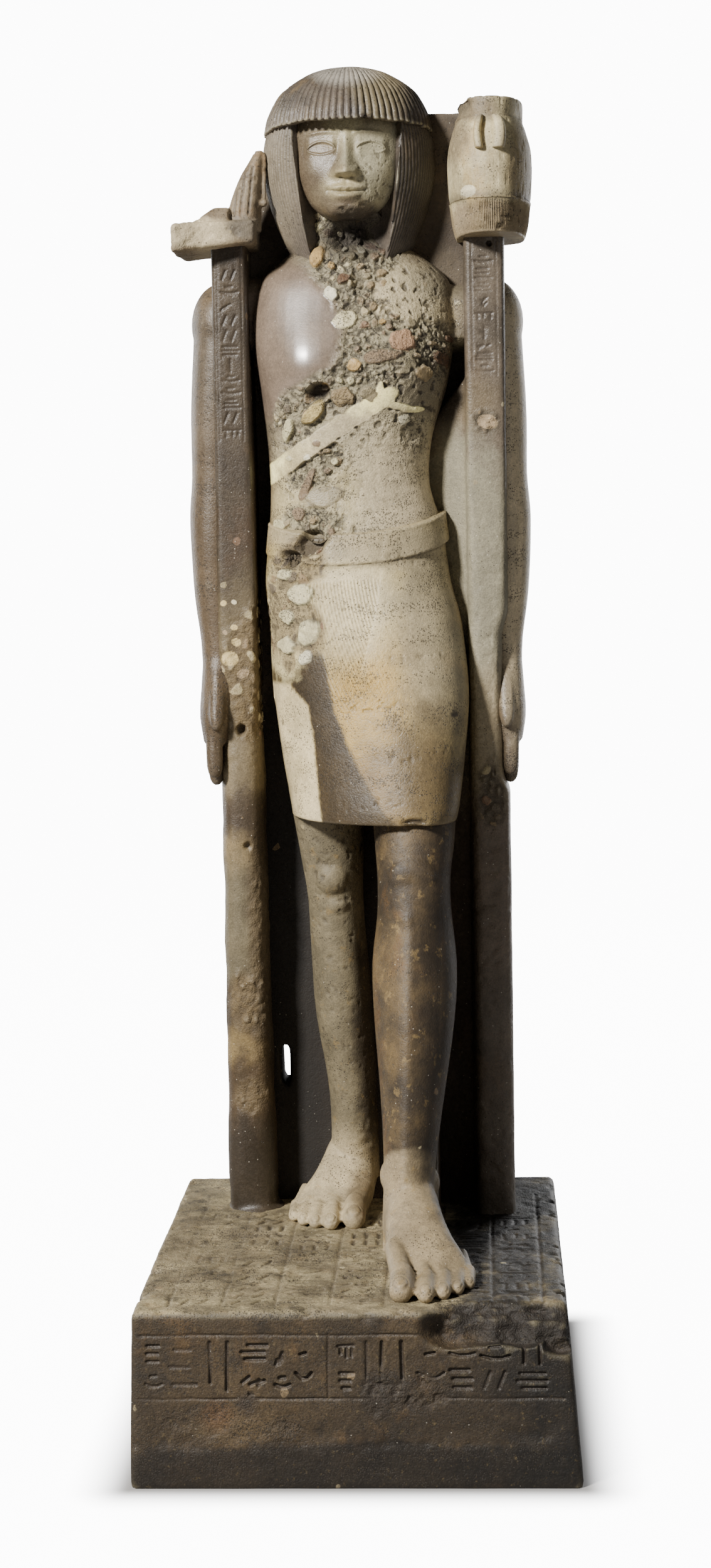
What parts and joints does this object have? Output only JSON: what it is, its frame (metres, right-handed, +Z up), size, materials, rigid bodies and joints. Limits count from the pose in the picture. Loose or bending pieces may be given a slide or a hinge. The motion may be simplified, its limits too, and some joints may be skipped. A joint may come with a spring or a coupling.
{
  "type": "ancient stone statue",
  "caption": "Striding man in a strand wig and pleated kilt, holding standards at both sides against a back slab, on a block base, in pebbly sandstone.",
  "frame": {"origin": "centre of the base's underside", "axes": "+Z up; the figure faces -Y; +X is the figure's own left, the side of the advanced foot"},
  "size_m": [0.446, 0.56, 1.4575],
  "materials": {
    "stone": "worn, partly polished"
  },
  "bodies": {
    "root": {"statue": "stone"}
  },
  "joints": []
}
